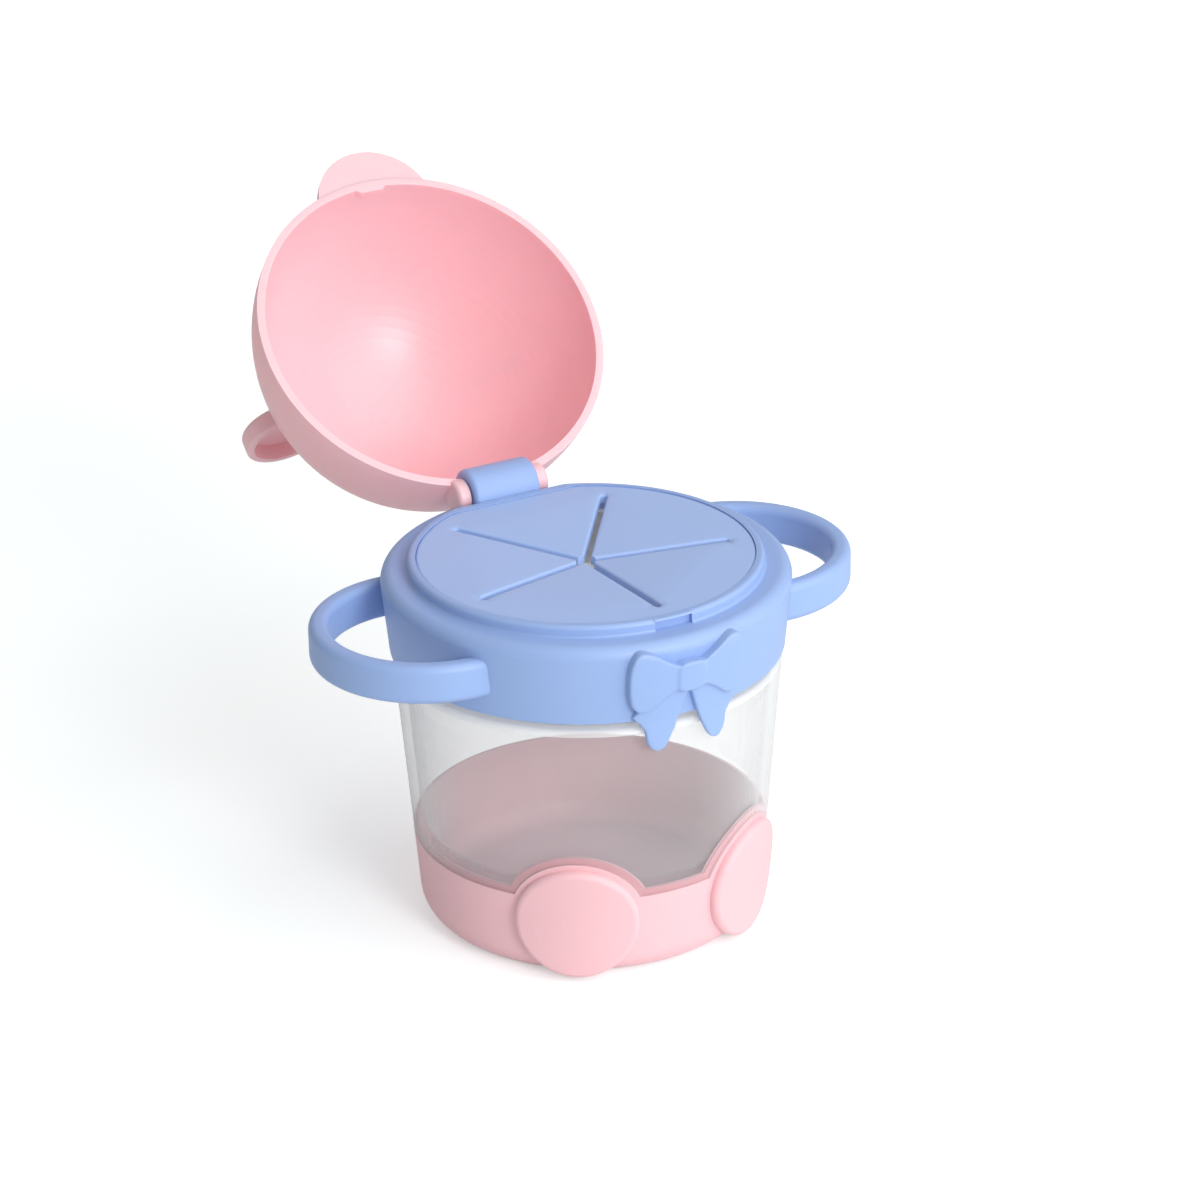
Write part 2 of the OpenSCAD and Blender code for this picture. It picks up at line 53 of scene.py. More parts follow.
def new_group(name, inputs, outputs):
    """An empty shader group with float inputs {name: value} and the named outputs."""
    tree = bpy.data.node_groups.new(name, "ShaderNodeTree")
    for label, value in inputs.items():
        socket = tree.interface.new_socket(label, in_out="INPUT", socket_type="NodeSocketFloat")
        socket.default_value = value
    for label in outputs:
        tree.interface.new_socket(label, in_out="OUTPUT", socket_type="NodeSocketFloat")
    return tree, tree.nodes.new("NodeGroupInput"), tree.nodes.new("NodeGroupOutput")


def wire(tree, *pairs):
    """Links each (source socket, target socket) pair."""
    for source, target in pairs:
        tree.links.new(source, target)


def math_node(tree, operation, first, second):
    """A Math node fed by sockets or numbers; returns its output socket."""
    node = tree.nodes.new("ShaderNodeMath")
    node.operation = operation
    for slot_index, value in enumerate((first, second)):
        if isinstance(value, (int, float)):
            node.inputs[slot_index].default_value = value
        else:
            tree.links.new(value, node.inputs[slot_index])
    return node.outputs[0]


def noise_node(tree, coordinates, scale, detail, roughness):
    """A noise texture on object coordinates; scale is a socket that gives cycles per metre."""
    node = tree.nodes.new("ShaderNodeTexNoise")
    wire(tree, (coordinates, node.inputs["Vector"]), (scale, node.inputs["Scale"]))
    node.inputs["Detail"].default_value = detail
    node.inputs["Roughness"].default_value = roughness
    return node.outputs["Fac"]


# the fine texture that a spark-eroded mould leaves, with slow unevenness in shade and gloss
cloud_middle = 0.5
mould_texture, texture_in, texture_out = new_group(
    "Mould texture",
    {"Grain Per Metre": 2600.0, "Cloud Per Metre": 45.0, "Gloss": 0.4, "Gloss Spread": 0.08},
    ["Cloud", "Roughness", "Height"])
place = mould_texture.nodes.new("ShaderNodeTexCoord").outputs["Object"]
grain = noise_node(mould_texture, place, texture_in.outputs["Grain Per Metre"], detail=3.0, roughness=0.6)
cloud = noise_node(mould_texture, place, texture_in.outputs["Cloud Per Metre"], detail=2.0, roughness=0.45)
gloss_change = math_node(mould_texture, "MULTIPLY",
                         math_node(mould_texture, "SUBTRACT", cloud, cloud_middle),
                         texture_in.outputs["Gloss Spread"])
uneven_gloss = math_node(mould_texture, "ADD", texture_in.outputs["Gloss"], gloss_change)
wire(mould_texture,
     (cloud, texture_out.inputs["Cloud"]),
     (uneven_gloss, texture_out.inputs["Roughness"]),
     (grain, texture_out.inputs["Height"]))


def moulded(name, light, deep, gloss, grain_height, **sockets):
    """A moulded material: two close shades mixed by the mould texture, its gloss and its fine relief."""
    material = bpy.data.materials.new(name)
    material.use_nodes = True
    tree = material.node_tree
    surface = tree.nodes["Principled BSDF"]
    texture = tree.nodes.new("ShaderNodeGroup")
    texture.node_tree = mould_texture
    texture.inputs["Gloss"].default_value = gloss
    shade = tree.nodes.new("ShaderNodeMix")
    shade.data_type = "RGBA"
    shade.inputs["A"].default_value = (*light, 1.0)
    shade.inputs["B"].default_value = (*deep, 1.0)
    relief = tree.nodes.new("ShaderNodeBump")
    relief.inputs["Strength"].default_value = 1.0
    relief.inputs["Distance"].default_value = grain_height
    wire(tree,
         (texture.outputs["Cloud"], shade.inputs["Factor"]),
         (shade.outputs["Result"], surface.inputs["Base Color"]),
         (texture.outputs["Roughness"], surface.inputs["Roughness"]),
         (texture.outputs["Height"], relief.inputs["Height"]),
         (relief.outputs["Normal"], surface.inputs["Normal"]))
    for label, value in sockets.items():
        surface.inputs[label.replace("_", " ")].default_value = value
    return material


def dress(node, material):
    """Gives a CAD node its material."""
    for material_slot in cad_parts[node].material_slots:
        material_slot.material = material


# the wall is clear where it is looked at squarely, and milky edge on and at the thick shoulder
face_density = 0.13
edge_density = 0.85
edge_sharpness = 3.0
shoulder_start = 0.0577
shoulder_density = 0.6
clear_plastic = moulded("Clear polypropylene", (0.86, 0.86, 0.86), (0.83, 0.83, 0.835), 0.24, 0.000004,
                        IOR=1.49)
clear_tree = clear_plastic.node_tree
edge_on = clear_tree.nodes.new("ShaderNodeLayerWeight")
edge_on.inputs["Blend"].default_value = 0.5
density = clear_tree.nodes.new("ShaderNodeMapRange")
density.inputs["To Min"].default_value = face_density
density.inputs["To Max"].default_value = edge_density
clear_place = clear_tree.nodes.new("ShaderNodeTexCoord").outputs["Object"]
clear_split = clear_tree.nodes.new("ShaderNodeSeparateXYZ")
wire(clear_tree,
     (clear_place, clear_split.inputs[0]),
     (math_node(clear_tree, "POWER", edge_on.outputs["Facing"], edge_sharpness), density.inputs["Value"]))
shoulder = math_node(clear_tree, "MULTIPLY", math_node(
    clear_tree, "GREATER_THAN", clear_split.outputs["Z"], shoulder_start), shoulder_density)
wire(clear_tree, (math_node(clear_tree, "MAXIMUM", density.outputs["Result"], shoulder),
                  clear_tree.nodes["Principled BSDF"].inputs["Alpha"]))


def welded_copy(node, name):
    """A mesh object with the merged surface of a CAD node."""
    shell = bmesh.new()
    shell.from_mesh(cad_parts[node].data)
    bmesh.ops.remove_doubles(shell, verts=shell.verts, dist=1e-6)
    mesh = bpy.data.meshes.new(name)
    shell.to_mesh(mesh)
    shell.free()
    copy = bpy.data.objects.new(name, mesh)
    bpy.context.scene.collection.objects.link(copy)
    return copy


# the shell is drawn a hair thinner than the cup, so that its surfaces lie clear of the boot's
shell_clearance = 0.00004
cup_shell = welded_copy("cup", "cup_shell")
cad_normals = [corner.vector.copy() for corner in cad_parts["cup"].data.corner_normals]
shell_normals = [vertex.normal.copy() for vertex in cup_shell.data.vertices]
for vertex, normal in zip(cup_shell.data.vertices, shell_normals):
    vertex.co -= shell_clearance * normal
cup_shell.data.normals_split_custom_set(cad_normals)
cup_shell.data.materials.append(clear_plastic)
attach(cup_shell, "cup")
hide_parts("cup")


# ---- Boot and foot pads ---------------------------------------------------------------------------------
# A soft silicone boot is pushed onto the cup's foot, and two thick pads stand out from it as paws.
# A tongue along its top edge tucks up behind the clear wall; a painted shade on its face shows there as a
# thin darker band.

boot_silicone = moulded("Pink silicone", (0.92, 0.555, 0.59), (0.89, 0.515, 0.555), 0.52, 0.00001,
                        Sheen_Weight=0.12, Sheen_Roughness=0.5, Subsurface_Weight=0.12,
                        Subsurface_Radius=(0.004, 0.002, 0.0015), Subsurface_Scale=1.0)
boot_base_radius = 0.0358
boot_slope = 0.0814
boot_corner = 0.0065
tongue_depths = (0.0003, 0.0009)
# painted shade: the deeper pink that stands for the shade on the tongue's face behind the clear wall
tongue_painted_shade = (0.70, 0.27, 0.32, 1.0)
boot_tree = boot_silicone.node_tree
boot_place = boot_tree.nodes.new("ShaderNodeTexCoord").outputs["Object"]
boot_split = boot_tree.nodes.new("ShaderNodeSeparateXYZ")
wire(boot_tree, (boot_place, boot_split.inputs[0]))
boot_x, boot_y, boot_z = boot_split.outputs


def length_of(tree, first, second):
    """The length of a vector with two parts."""
    return math_node(tree, "SQRT", math_node(tree, "ADD", math_node(tree, "MULTIPLY", first, first),
                                             math_node(tree, "MULTIPLY", second, second)), 0.0)


# how deep a point lies inside the boot's rounded form: the face of the tongue gets a painted shade, a deeper
# pink for the shade behind the clear wall
corner_middle = math_node(boot_tree, "ADD", math_node(boot_tree, "MULTIPLY", boot_z, boot_slope),
                          boot_base_radius - boot_corner)
past_middle = math_node(boot_tree, "MAXIMUM", math_node(
    boot_tree, "SUBTRACT", length_of(boot_tree, boot_x, boot_y), corner_middle), 0.0)
below_middle = math_node(boot_tree, "MAXIMUM", math_node(boot_tree, "SUBTRACT", boot_corner, boot_z), 0.0)
boot_depth = math_node(boot_tree, "SUBTRACT", boot_corner, length_of(boot_tree, past_middle, below_middle))
painted_shade_mask = math_node(boot_tree, "MULTIPLY",
                      math_node(boot_tree, "GREATER_THAN", boot_depth, tongue_depths[0]),
                      math_node(boot_tree, "LESS_THAN", boot_depth, tongue_depths[1]))
# mixes the painted shade into the boot's colour on the tongue's face
painted_shade_mix = boot_tree.nodes.new("ShaderNodeMix")
painted_shade_mix.data_type = "RGBA"
painted_shade_mix.inputs["B"].default_value = tongue_painted_shade
boot_surface = boot_tree.nodes["Principled BSDF"]
wire(boot_tree,
     (painted_shade_mask, painted_shade_mix.inputs["Factor"]),
     (boot_surface.inputs["Base Color"].links[0].from_socket, painted_shade_mix.inputs["A"]),
     (painted_shade_mix.outputs["Result"], boot_surface.inputs["Base Color"]))
for piece in ("boot", "foot_pad_left", "foot_pad_right"):
    dress(piece, boot_silicone)


# ---- Seal -----------------------------------------------------------------------------------------------
# A flat ring moulded in white silicone lies against the collar's roof and rises with the collar. The cup's
# rim closes against it when the collar is screwed down.

seal_silicone = moulded("White silicone", (0.86, 0.86, 0.85), (0.82, 0.82, 0.81), 0.5, 0.00001)
dress("seal_ring", seal_silicone)


# ---- Collar and handles ---------------------------------------------------------------------------------
# The collar is one satin polypropylene moulding with its raised ring, hinge barrel and two finger loops.
# It screws onto the cup's neck and carries the membrane and the lid.

blue_plastic = moulded("Blue polypropylene", (0.31, 0.44, 0.755), (0.292, 0.42, 0.73), 0.42, 0.000008,
                       Subsurface_Weight=0.06, Subsurface_Radius=(0.0012, 0.0015, 0.003),
                       Subsurface_Scale=1.0)
for piece in ("collar", "handle_left", "handle_right"):
    dress(piece, blue_plastic)


# ---- Latch lip ------------------------------------------------------------------------------------------
# A thin lip, moulded in one with the collar's ring, closes the latch notch from above. The lid's tab snaps
# past it and then sits under it.

lip_outer = 0.0368
lip_inner = 0.0356
lip_top = 0.08048
lip_low = 0.07996
lip_edge = 0.00045
lip_underside_break = 0.0002
lip_side_break = 0.00005
lip_break_height = 0.0001
lip_half_angle = 0.118
lip_steps = 24
lip_edge_steps = 6
lip_crease = math.radians(40)
lip_profile = [(lip_inner, lip_low), (lip_outer - lip_underside_break, lip_low),
               (lip_outer - lip_side_break, lip_low + lip_break_height)]
for step in range(lip_edge_steps + 1):
    angle = math.pi / 2 * step / lip_edge_steps
    lip_profile.append((lip_outer - lip_edge + lip_edge * math.cos(angle),
                        lip_top - lip_edge + lip_edge * math.sin(angle)))
lip_profile.append((lip_inner, lip_top))
lip_mesh = bmesh.new()
lip_rings = []
for step in range(lip_steps + 1):
    angle = lip_half_angle * (2 * step / lip_steps - 1)
    lip_rings.append([lip_mesh.verts.new((reach * math.sin(angle), -reach * math.cos(angle), height))
                      for reach, height in lip_profile])
for ring, following in zip(lip_rings, lip_rings[1:]):
    for j in range(len(lip_profile)):
        after = (j + 1) % len(lip_profile)
        lip_mesh.faces.new((ring[j], following[j], following[after], ring[after]))
lip_mesh.faces.new(lip_rings[0])
lip_mesh.faces.new(reversed(lip_rings[-1]))
bmesh.ops.recalc_face_normals(lip_mesh, faces=lip_mesh.faces)
lip_data = bpy.data.meshes.new("latch_lip")
lip_mesh.to_mesh(lip_data)
lip_mesh.free()
lip_data.shade_smooth()
lip_data.set_sharp_from_angle(angle=lip_crease)
lip_data.materials.append(blue_plastic)
latch_lip = bpy.data.objects.new("latch_lip", lip_data)
bpy.context.scene.collection.objects.link(latch_lip)
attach(latch_lip, "collar")


# ---- Screw thread ---------------------------------------------------------------------------------------
# Two thread starts are moulded round the clear neck and two more inside the collar, between them. One turn
# lifts the collar by the lead, so the ridges of the collar always pass between those of the neck.

thread_lead = 0.008
thread_starts = 2
thread_bottom = 0.0625
neck_reach = 0.0368
bore_reach = 0.038
thread_middle = 0.5
full_ridge = 0.42


def add_node(tree, kind, **values):
    """A geometry node with attributes set from lower-case names and inputs from capitalised ones."""
    node = tree.nodes.new(kind)
    for label, value in values.items():
        if label[0].islower():
            setattr(node, label, value)
        else:
            node.inputs[label.replace("_", " ")].default_value = value
    return node


def new_tree(name, inputs):
    """An empty geometry node tree with float inputs {name: value}, and its input and output nodes."""
    tree = bpy.data.node_groups.new(name, "GeometryNodeTree")
    tree.interface.new_socket("Geometry", in_out="OUTPUT", socket_type="NodeSocketGeometry")
    for label, value in inputs.items():
        tree.interface.new_socket(label, in_out="INPUT", socket_type="NodeSocketFloat").default_value = value
    return tree, tree.nodes.new("NodeGroupInput"), tree.nodes.new("NodeGroupOutput")


def built_by(tree, name, material, **sizes):
    """A plain mesh object made by a geometry node tree; sizes are its inputs, with _ for each space."""
    holder = bpy.data.objects.new(name, bpy.data.meshes.new(name))
    bpy.context.scene.collection.objects.link(holder)
    modifier = holder.modifiers.new("build", "NODES")
    modifier.node_group = tree
    inputs = {item.name: item.identifier for item in tree.interface.items_tree if item.in_out == "INPUT"}
    for label, value in sizes.items():
        modifier[inputs[label.replace("_", " ")]] = value
    graph = bpy.context.evaluated_depsgraph_get()
    mesh = bpy.data.meshes.new_from_object(holder.evaluated_get(graph), depsgraph=graph)
    holder.modifiers.clear()
    holder.data = mesh
    mesh.name = name
    mesh.materials.clear()
    mesh.materials.append(material)
    return holder


thread_tree, thread_in, thread_out = new_tree(
    "Thread ridges",
    {"Radius": neck_reach, "Bottom": thread_bottom, "Turns": 1.0, "Ridge": 0.0007, "First Turn": 0.0})
helix_height = add_node(thread_tree, "ShaderNodeMath", operation="MULTIPLY")
helix_height.inputs[1].default_value = thread_lead
helix = add_node(thread_tree, "GeometryNodeCurveSpiral", Resolution=96)
profile = add_node(thread_tree, "GeometryNodeCurvePrimitiveCircle", Resolution=8)
sweep = add_node(thread_tree, "GeometryNodeCurveToMesh", Fill_Caps=True)
along = add_node(thread_tree, "GeometryNodeSplineParameter")
taper = add_node(thread_tree, "ShaderNodeMapRange", interpolation_type="SMOOTHSTEP",
                 From_Min=thread_middle, From_Max=full_ridge)
middle = add_node(thread_tree, "ShaderNodeMath", operation="SUBTRACT")
middle.inputs[1].default_value = thread_middle
spread = add_node(thread_tree, "ShaderNodeMath", operation="ABSOLUTE")
ridge_size = add_node(thread_tree, "ShaderNodeMath", operation="MULTIPLY")
starts = add_node(thread_tree, "GeometryNodeMeshLine", Count=thread_starts, Offset=(0.0, 0.0, 0.0))
instances = add_node(thread_tree, "GeometryNodeInstanceOnPoints")
index = add_node(thread_tree, "GeometryNodeInputIndex")
start_turn = add_node(thread_tree, "ShaderNodeMath", operation="MULTIPLY_ADD")
start_turn.inputs[1].default_value = math.tau / thread_starts
turn_vector = add_node(thread_tree, "ShaderNodeCombineXYZ")
bottom_vector = add_node(thread_tree, "ShaderNodeCombineXYZ")
placed = add_node(thread_tree, "GeometryNodeTransform")
realized = add_node(thread_tree, "GeometryNodeRealizeInstances")
painted = add_node(thread_tree, "GeometryNodeSetMaterial")
wire(thread_tree,
     (thread_in.outputs["Turns"], helix_height.inputs[0]),
     (thread_in.outputs["Turns"], helix.inputs["Rotations"]),
     (thread_in.outputs["Radius"], helix.inputs["Start Radius"]),
     (thread_in.outputs["Radius"], helix.inputs["End Radius"]),
     (helix_height.outputs[0], helix.inputs["Height"]),
     (along.outputs["Factor"], middle.inputs[0]),
     (middle.outputs[0], spread.inputs[0]),
     (spread.outputs[0], taper.inputs["Value"]),
     (taper.outputs["Result"], ridge_size.inputs[0]),
     (thread_in.outputs["Ridge"], ridge_size.inputs[1]),
     (helix.outputs["Curve"], sweep.inputs["Curve"]),
     (ridge_size.outputs[0], sweep.inputs["Scale"]),
     (profile.outputs["Curve"], sweep.inputs["Profile Curve"]),
     (starts.outputs["Mesh"], instances.inputs["Points"]),
     (sweep.outputs["Mesh"], instances.inputs["Instance"]),
     (index.outputs[0], start_turn.inputs[0]),
     (thread_in.outputs["First Turn"], start_turn.inputs[2]),
     (start_turn.outputs[0], turn_vector.inputs["Z"]),
     (turn_vector.outputs[0], instances.inputs["Rotation"]),
     (instances.outputs["Instances"], realized.inputs["Geometry"]),
     (realized.outputs["Geometry"], placed.inputs["Geometry"]),
     (thread_in.outputs["Bottom"], bottom_vector.inputs["Z"]),
     (bottom_vector.outputs[0], placed.inputs["Translation"]),
     (placed.outputs["Geometry"], painted.inputs["Geometry"]),
     (painted.outputs["Geometry"], thread_out.inputs["Geometry"]))

neck_thread = built_by(thread_tree, "neck_thread", clear_plastic, Radius=neck_reach)
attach(neck_thread, "cup")
half_spacing_turn = math.tau / thread_starts / 2
collar_thread = built_by(thread_tree, "collar_thread", blue_plastic,
                         Radius=bore_reach, First_Turn=half_spacing_turn)
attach(collar_thread, "collar")
for thread in (neck_thread, collar_thread):
    thread.data.shade_smooth()


# ---- Bow ------------------------------------------------------------------------------------------------
# The bow is moulded in relief on the collar's front: two full loops, a knot and two tails that hang free
# below the collar's edge. Its edges are rounded all over so that it leaves the mould and feels soft.

bow_cell = 0.00028
bow_softening = 10
bow_root = 0.0012
collar_bottom = 0.061
skirt_reach = 0.0411
skirt_flare = 0.0014
skirt_height = 0.0144
root_margin = 0.0002


def settle(piece):
    """Applies a piece's modifiers to its mesh."""
    graph = bpy.context.evaluated_depsgraph_get()
    mesh = bpy.data.meshes.new_from_object(piece.evaluated_get(graph), depsgraph=graph)
    piece.modifiers.clear()
    piece.data = mesh


# the hidden back of the bow runs a little into the collar, so that the rounding opens no gap there
bow = welded_copy("bow", "bow_moulding")
for vertex in bow.data.vertices:
    reach = math.hypot(vertex.co.x, vertex.co.y)
    skirt = skirt_reach + skirt_flare * (vertex.co.z - collar_bottom) / skirt_height
    if vertex.co.z > collar_bottom + root_margin and reach < skirt + root_margin:
        vertex.co.x *= 1 - bow_root / reach
        vertex.co.y *= 1 - bow_root / reach
cells = bow.modifiers.new("cells", "REMESH")
cells.mode = "VOXEL"
cells.voxel_size = bow_cell
smoothing = bow.modifiers.new("rounding", "SMOOTH")
smoothing.factor = 0.5
smoothing.iterations = bow_softening
settle(bow)
bow.data.shade_smooth()
bow.data.materials.append(blue_plastic)
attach(bow, "collar")
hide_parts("bow")


# ---- Membrane -------------------------------------------------------------------------------------------
# One soft silicone disc clips into the collar's mouth. Five slits from its middle part it into flaps that
# bend down under a child's fingers and spring back, so the snacks stay in. All its edges are rounded.

blue_silicone = moulded("Blue silicone", (0.365, 0.505, 0.835), (0.345, 0.485, 0.81), 0.5, 0.00001,
                        Sheen_Weight=0.1, Sheen_Roughness=0.5)
flap_count = 5
half_turn = math.pi / flap_count
membrane_top = 0.0803
membrane_thick = 0.002
membrane_radius = 0.0351
membrane_back = 0.0319
slit_end = 0.0304
slit_half = 0.00075
slit_round = 0.0005
slit_end_steps = 6
band_over_round = 1.1
band_over_half = 0.6
half_count = 8
rim_round = 0.0005
row_bulge = 0.0022
row_squareness = 4
flap_tip = 0.0022
dip_slope = math.tan(math.radians(4.5))
dip_start = 0.0015
membrane_crease = math.radians(50)
slit_way = Vector((math.sin(half_turn), math.cos(half_turn)))
slit_side = Vector((-math.cos(half_turn), math.sin(half_turn)))
slit_middle = (slit_end - slit_half) * slit_way
slit_corner = slit_middle + slit_half * slit_side
root_y = slit_corner.y


def rounded_drop(distance, radius):
    """How far a surface falls at a distance from an edge that is rounded to a radius."""
    inside = min(max(radius - distance, 0.0), radius)
    return radius - math.sqrt(radius * radius - inside * inside)


def outline_point(angle, sector):
    """The membrane's edge at an angle from the middle of a sector; the first sector has a flat back."""
    point = membrane_radius * Vector((math.sin(angle), math.cos(angle)))
    if sector == 0 and point.y > membrane_back:
        point *= membrane_back / point.y
    return point


def dip_of(point):
    """How far the membrane dips over a plan point."""
    inward = max(root_y - point.y, 0.0)
    return dip_slope * (inward - dip_start * (1 - math.exp(-inward / dip_start)))


def membrane_height(point, sector):
    """Top height of the membrane over a point of a sector's plan, with its dip and rounded edges."""
    side = Vector((abs(point.x), point.y))
    along_slit = min(max(side.dot(slit_way), 0.0), slit_end - slit_half)
    from_slit = (side - along_slit * slit_way).length - slit_half
    edge = outline_point(math.atan2(point.x, point.y), sector)
    from_edge = edge.length - point.length
    return (membrane_top - dip_of(point)
            - rounded_drop(from_slit, slit_round) - rounded_drop(from_edge, rim_round))


def columns(half_width):
    """Places across a row from half_width to -half_width, close together at its rounded ends."""
    end_band = min(band_over_round * slit_round, band_over_half * half_width)
    end_shares = (0.0, 1 / 30, 1 / 8, 1 / 4, 5 / 12, 2 / 3, 1.0)
    near = [half_width - end_band * share for share in end_shares]
    middle = [near[-1] * (half_count - step) / half_count for step in range(1, 2 * half_count)]
    return near + middle + [-x for x in reversed(near)]


def sector_turn(sector):
    """The turn about the membrane's middle that brings the first sector to another."""
    return Matrix.Rotation(sector * 2 * half_turn, 3, "Z")


def solid_from_rows(mesh, rows, sector, side_rows):
    """Adds a sheet over rows of plan points, walled at both ends and beside its first side_rows rows."""
    turn = sector_turn(sector)
    top, low = [], []
    for row in rows:
        top.append([mesh.verts.new(turn @ Vector((p.x, p.y, membrane_height(p, sector)))) for p in row])
        low.append([mesh.verts.new(turn @ Vector((p.x, p.y, membrane_top - membrane_thick - dip_of(p))))
                    for p in row])
    last_row, last_column = len(rows) - 1, len(rows[0]) - 1
    for i in range(last_row):
        for j in range(last_column):
            mesh.faces.new((top[i][j], top[i + 1][j], top[i + 1][j + 1], top[i][j + 1]))
            mesh.faces.new((low[i][j], low[i][j + 1], low[i + 1][j + 1], low[i + 1][j]))
    for j in range(last_column):
        mesh.faces.new((top[0][j], top[0][j + 1], low[0][j + 1], low[0][j]))
        mesh.faces.new((top[-1][j + 1], top[-1][j], low[-1][j], low[-1][j + 1]))
    for i in range(side_rows):
        mesh.faces.new((top[i + 1][0], top[i][0], low[i][0], low[i + 1][0]))
        mesh.faces.new((top[i][-1], top[i + 1][-1], low[i + 1][-1], low[i][-1]))


def membrane_piece(mesh, name):
    """A finished membrane object from a mesh in the making."""
    bmesh.ops.remove_doubles(mesh, verts=mesh.verts, dist=1e-6)
    bmesh.ops.recalc_face_normals(mesh, faces=mesh.faces)
    data = bpy.data.meshes.new(name)
    mesh.to_mesh(data)
    mesh.free()
    data.shade_smooth()
    data.set_sharp_from_angle(angle=membrane_crease)
    data.materials.append(blue_silicone)
    piece = bpy.data.objects.new(name, data)
    bpy.context.scene.collection.objects.link(piece)
    return piece


def flap_rows():
    """Plan rows of a flap that points away along +Y, from its tip to its root."""
    rows = []
    row_count = 40
    places = [flap_tip + step for step in (0.0, 0.0001, 0.00025, 0.0005)]
    places += [places[-1] + (root_y - places[-1]) * step / row_count for step in range(1, row_count + 1)]
    for y in places:
        half_width = y * math.tan(half_turn) - slit_half / math.cos(half_turn)
        rows.append([Vector((-x, y)) for x in columns(half_width)])
    return rows


def rim_rows(sector):
    """Plan rows of the rim from a flap's root round the slits' ends to the membrane's edge."""
    rows = [[Vector((-x, root_y)) for x in columns(slit_corner.x)]]
    for step in range(1, slit_end_steps + 1):
        angle = math.pi / 2 * step / slit_end_steps
        corner = slit_middle + slit_half * (slit_side * math.cos(angle) + slit_way * math.sin(angle))
        middle_y = root_y + row_bulge * step / slit_end_steps
        rows.append([Vector((-x, middle_y + (corner.y - middle_y) * (abs(x) / corner.x) ** row_squareness))
                     for x in columns(corner.x)])
    inner = rows[-1]
    edge = [outline_point(math.atan2(point.x, point.y) * half_turn
                          / math.atan2(inner[-1].x, inner[-1].y), sector) for point in inner]
    for share in (0.2, 0.4, 0.6, 0.75, 0.85, 0.91, 0.95, 0.98, 1.0):
        rows.append([start.lerp(end, share) for start, end in zip(inner, edge)])
    return rows


rim_mesh = bmesh.new()
for sector in range(flap_count):
    solid_from_rows(rim_mesh, rim_rows(sector), sector, slit_end_steps)
membrane_rim = membrane_piece(rim_mesh, "membrane_edge")
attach(membrane_rim, "collar")
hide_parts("membrane_rim")
for sector in range(flap_count):
    flap_mesh = bmesh.new()
    rows = flap_rows()
    solid_from_rows(flap_mesh, rows, sector, len(rows) - 1)
    flap = membrane_piece(flap_mesh, f"membrane_flap_{sector + 1}")
    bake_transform(flap)
    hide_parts(f"flap_{sector + 1}")


# ---- Lid ------------------------------------------------------------------------------------------------
# The dome is a thin satin polypropylene moulding with two ears and a snout. The stubs of its two lugs turn
# in the ends of the collar's barrel.

pink_plastic = moulded("Pink polypropylene", (0.95, 0.56, 0.60), (0.93, 0.52, 0.565), 0.38, 0.000008,
                       Specular_IOR_Level=0.85, Subsurface_Weight=0.35,
                       Subsurface_Radius=(0.006, 0.0025, 0.002), Subsurface_Scale=1.0)
for piece in ("lid", "ear_left", "ear_right", "muzzle"):
    dress(piece, pink_plastic)


# ---- Floor, lights and camera ---------------------------------------------------------------------------
# A plain white studio: a broad key light high on the right, a smaller one near the camera, and an even
# surround. The floor is lit by them and glows a little, so that it is white outside the soft shadow.

def area_light(name, place, target, size, power):
    """A square soft light at a place, aimed at a target."""
    lamp = bpy.data.lights.new(name, "AREA")
    lamp.size = size
    lamp.energy = power
    lamp_object = bpy.data.objects.new(name, lamp)
    lamp_object.location = place
    lamp_object.rotation_euler = (target - place).to_track_quat("-Z", "Y").to_euler()
    bpy.context.scene.collection.objects.link(lamp_object)


def seen_as_white(tree, strength):
    """A plain white shader, and the mask of the rays that look directly or through the cup."""
    path = tree.nodes.new("ShaderNodeLightPath")
    direct = math_node(tree, "MAXIMUM", path.outputs["Is Camera Ray"], path.outputs["Is Transmission Ray"])
    white = tree.nodes.new("ShaderNodeEmission" if tree.nodes.get("World Output") is None
                           else "ShaderNodeBackground")
    white.inputs["Color"].default_value = (1.0, 1.0, 1.0, 1.0)
    white.inputs["Strength"].default_value = strength
    return direct, white


floor_half = 2.0
glow_near, glow_far = 0.25, 0.8
near_glow = 0.37
white_glow = 1.0
floor_mesh = bpy.data.meshes.new("floor")
floor_mesh.from_pydata([(-floor_half, -floor_half, 0), (floor_half, -floor_half, 0),
                        (floor_half, floor_half, 0), (-floor_half, floor_half, 0)], [], [(0, 1, 2, 3)])
floor = bpy.data.objects.new("floor", floor_mesh)
bpy.context.scene.collection.objects.link(floor)
floor_paint = bpy.data.materials.new("White floor")
floor_paint.use_nodes = True
floor_tree = floor_paint.node_tree
floor_tree.nodes.clear()
floor_output = floor_tree.nodes.new("ShaderNodeOutputMaterial")
floor_diffuse = floor_tree.nodes.new("ShaderNodeBsdfDiffuse")
floor_diffuse.inputs["Color"].default_value = (0.85, 0.9, 0.9, 1.0)
floor_direct, floor_glow = seen_as_white(floor_tree, near_glow)
floor_sum = floor_tree.nodes.new("ShaderNodeAddShader")
floor_mix = floor_tree.nodes.new("ShaderNodeMixShader")
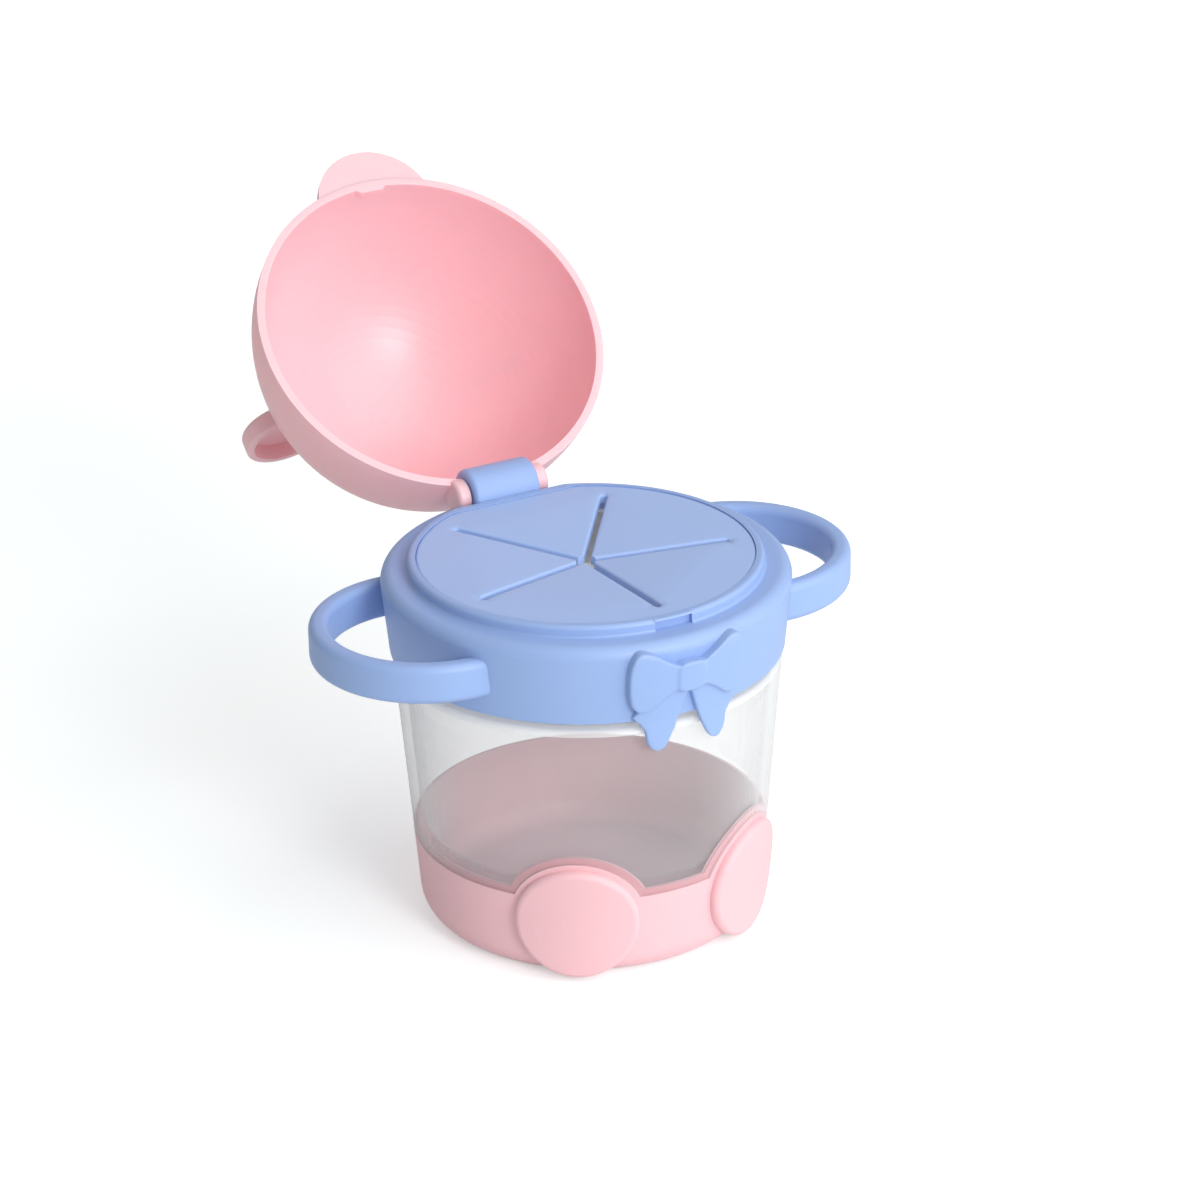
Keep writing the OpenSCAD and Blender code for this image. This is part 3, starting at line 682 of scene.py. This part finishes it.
# the glow grows with the distance from the cup, so that the far floor runs into the white surround
glow_growth = floor_tree.nodes.new("ShaderNodeMapRange")
glow_growth.interpolation_type = "SMOOTHSTEP"
for label, value in (("From Min", glow_near), ("From Max", glow_far),
                     ("To Min", near_glow), ("To Max", white_glow)):
    glow_growth.inputs[label].default_value = value
floor_reach = floor_tree.nodes.new("ShaderNodeVectorMath")
floor_reach.operation = "LENGTH"
floor_place = floor_tree.nodes.new("ShaderNodeTexCoord").outputs["Object"]
wire(floor_tree,
     (floor_place, floor_reach.inputs[0]), (floor_reach.outputs["Value"], glow_growth.inputs["Value"]),
     (glow_growth.outputs["Result"], floor_glow.inputs["Strength"]),
     (floor_diffuse.outputs[0], floor_sum.inputs[0]), (floor_glow.outputs[0], floor_sum.inputs[1]),
     (floor_direct, floor_mix.inputs[0]), (floor_diffuse.outputs[0], floor_mix.inputs[1]),
     (floor_sum.outputs[0], floor_mix.inputs[2]), (floor_mix.outputs[0], floor_output.inputs[0]))
floor_mesh.materials.append(floor_paint)

surround = bpy.data.worlds.new("Studio")
bpy.context.scene.world = surround
surround.use_nodes = True
world_tree = surround.node_tree
ambient = world_tree.nodes["Background"]
ambient.inputs["Color"].default_value = (1.0, 1.0, 1.0, 1.0)
ambient.inputs["Strength"].default_value = 0.43
world_direct, backdrop = seen_as_white(world_tree, white_glow)
world_mix = world_tree.nodes.new("ShaderNodeMixShader")
wire(world_tree,
     (world_direct, world_mix.inputs[0]), (ambient.outputs[0], world_mix.inputs[1]),
     (backdrop.outputs[0], world_mix.inputs[2]),
     (world_mix.outputs[0], world_tree.nodes["World Output"].inputs["Surface"]))

view_turn = math.radians(-28.2)
view_height = math.radians(24.6)
view_back = Vector((math.sin(view_turn) * math.cos(view_height), -math.cos(view_turn) * math.cos(view_height),
                    math.sin(view_height)))
view_right = Vector((math.cos(view_turn), math.sin(view_turn), 0.0))
aim = Vector((0.0, 0.0, 0.0685))
key_right, key_back, key_up = 0.7, 0.38, 0.5
key_place = aim + view_right * key_right + view_back * key_back + Vector((0, 0, key_up))
area_light("Key", key_place, aim, size=1.5, power=10.5)
front_right, front_back = 0.53, 1.07
area_light("Front", aim + view_right * front_right + view_back * front_back, aim, size=0.35, power=5.0)

camera_data = bpy.data.cameras.new("Camera")
camera_data.sensor_width = 36.0
camera_data.lens = 129.78
camera_data.shift_x = 0.01109
camera_data.shift_y = 0.00373
camera_data.clip_start = 0.05
camera = bpy.data.objects.new("Camera", camera_data)
camera_distance = 0.8954
camera_roll = math.radians(-0.966)
camera.location = aim + view_back * camera_distance
camera.rotation_euler = (view_back.to_track_quat("Z", "Y").to_matrix()
                         @ Matrix.Rotation(camera_roll, 3, "Z")).to_euler()
bpy.context.scene.collection.objects.link(camera)
bpy.context.scene.camera = camera
bpy.context.scene.view_settings.view_transform = "Standard"
bpy.context.scene.cycles.transparent_max_bounces = 32
